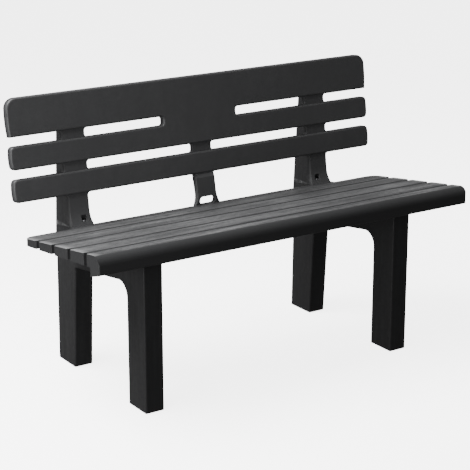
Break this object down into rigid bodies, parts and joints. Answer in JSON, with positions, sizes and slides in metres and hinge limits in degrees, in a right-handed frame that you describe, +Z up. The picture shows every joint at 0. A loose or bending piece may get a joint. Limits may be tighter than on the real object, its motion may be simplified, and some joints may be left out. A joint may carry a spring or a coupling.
{
  "type": "garden bench",
  "caption": "Two-seat garden bench with a sloping slatted seat, a slatted reclined backrest and two arched leg frames.",
  "frame": {"origin": "centre of the footprint on the ground", "axes": "+X along the bench to the sitter's left, +Y to the back, +Z up"},
  "size_m": [1.141, 0.5259, 0.7463],
  "materials": {
    "resin": "satin moulded anthracite resin with a fine wood-like grain",
    "steel": "zinc-plated screws"
  },
  "bodies": {
    "root": {"seat": "resin", "backrest": "resin", "leg_frame_left": "resin", "leg_frame_right": "resin", "frame_screws": "steel", "upright_screws": "steel", "centre_screws": "steel"}
  },
  "joints": []
}
